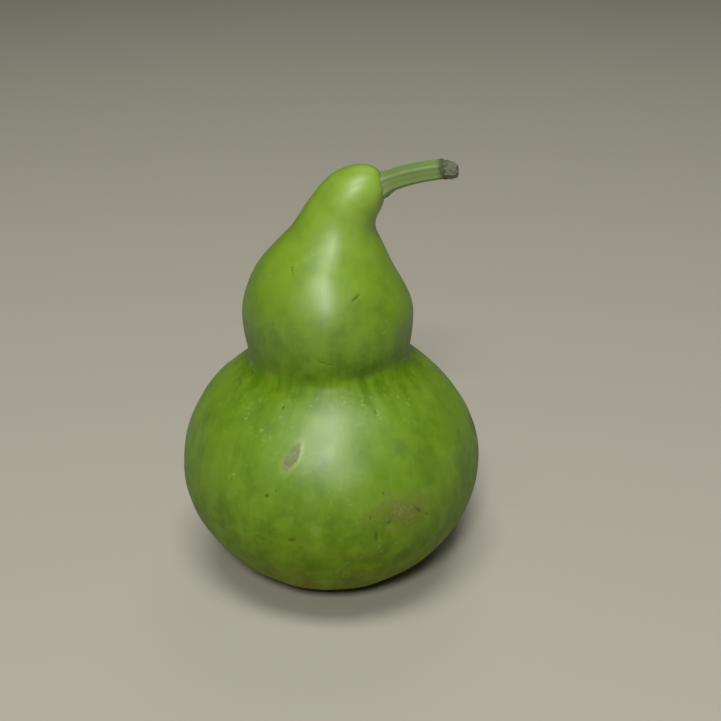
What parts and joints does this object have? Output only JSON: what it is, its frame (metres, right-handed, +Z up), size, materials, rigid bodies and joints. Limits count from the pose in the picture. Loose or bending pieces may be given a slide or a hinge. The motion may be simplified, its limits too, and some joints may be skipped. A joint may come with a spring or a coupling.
{
  "type": "bottle gourd",
  "caption": "Fresh green bottle gourd with a round base, a narrow waist, a crown that bends over and a short ribbed stalk with a dried cut end, standing on its blossom end.",
  "frame": {"origin": "middle of the flat foot at the blossom end, on the surface that the gourd stands on", "axes": "+Z up the gourd from foot to crown, +X the way the crown and the stalk bend over, -Y the side that faces the viewer"},
  "size_m": [0.18, 0.18, 0.2651],
  "materials": {
    "gourd_skin": "satin waxy green rind, mottled with paler flecks, with a few corky scars",
    "stalk_skin": "matt ribbed green stalk with a dried grey-brown cut end"
  },
  "bodies": {
    "root": {"gourd_body": "gourd_skin", "stalk": "stalk_skin"}
  },
  "joints": []
}
